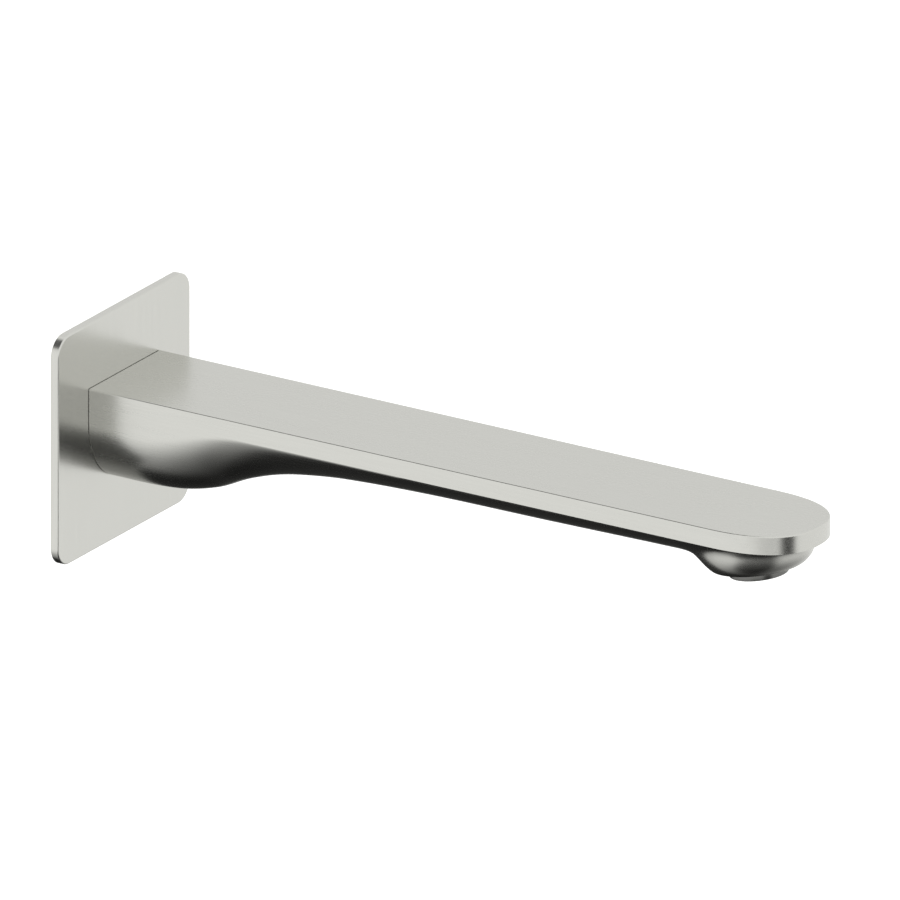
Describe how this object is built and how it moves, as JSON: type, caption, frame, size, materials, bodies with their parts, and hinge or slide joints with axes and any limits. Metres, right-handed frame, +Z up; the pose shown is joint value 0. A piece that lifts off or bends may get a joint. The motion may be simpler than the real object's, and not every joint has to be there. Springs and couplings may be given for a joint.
{
  "type": "wall mounted bath spout",
  "caption": "Fixed wall bath spout: a flat slab on a curved belly, a square cover plate, a slip-on G1/2 wall nipple and a screw-in aerator.",
  "frame": {"origin": "on the inlet axis, where it crosses the face of the wall", "axes": "+Z up, -Y straight out of the wall along the spout, +X to the right when facing the wall"},
  "size_m": [0.07, 0.2537, 0.07],
  "materials": {
    "brushed_nickel": "brushed nickel plate over cast brass, fine satin grain",
    "brass": "turned",
    "stainless_steel": "plain",
    "black_rubber": "matt",
    "foam": "closed-cell foam",
    "red_fibre": "pressed fibre",
    "black_plastic": "moulded",
    "white_plastic": "moulded",
    "blue_plastic": "moulded",
    "nylon": "plain"
  },
  "bodies": {
    "spout": {"spout_body": "brushed_nickel", "wall_plate": "brushed_nickel", "wall_gasket": "foam", "plate_bush": "black_plastic", "root_gasket": "black_rubber", "connection_nipple": "brass", "inlet_washer": "red_fibre", "spigot_o_ring_rear": "black_rubber", "spigot_o_ring_front": "black_rubber"},
    "outlet_seal": {"aerator_washer": "black_rubber"},
    "outlet_insert": {"aerator_housing": "brushed_nickel", "aerator_cage": "white_plastic", "stream_former": "white_plastic", "splitter_grid_lower": "stainless_steel", "splitter_grid_upper": "stainless_steel", "jet_plate": "blue_plastic", "regulator_seat": "blue_plastic", "regulator_ring": "black_rubber", "inlet_screen": "white_plastic"},
    "grub_pad": {"grub_tip": "nylon"},
    "grub": {"grub_screw": "stainless_steel"}
  },
  "joints": [
    {"name": "aerator_travel", "type": "slide", "parent": "spout", "child": "outlet_seal", "axis": [0, -0.1392, -0.9903], "range_m": [0, 0.0055]},
    {"name": "aerator_turn", "type": "hinge", "parent": "outlet_seal", "child": "outlet_insert", "pos_m": [0, -0.2179, -0.0001], "axis": [0, -0.1392, -0.9903], "range_deg": [0, 1980]},
    {"name": "grub_travel", "type": "slide", "parent": "spout", "child": "grub_pad", "axis": [0, 0, -1], "range_m": [0, 0.0015]},
    {"name": "grub_turn", "type": "hinge", "parent": "grub_pad", "child": "grub", "pos_m": [0, -0.0132, 0], "axis": [0, 0, -1], "range_deg": [0, 540]}
  ],
  "couplings": [
    {"joint": "aerator_turn", "follows": "aerator_travel", "rad_per_m": 6283.2},
    {"joint": "grub_turn", "follows": "grub_travel", "rad_per_m": 6283.2}
  ]
}
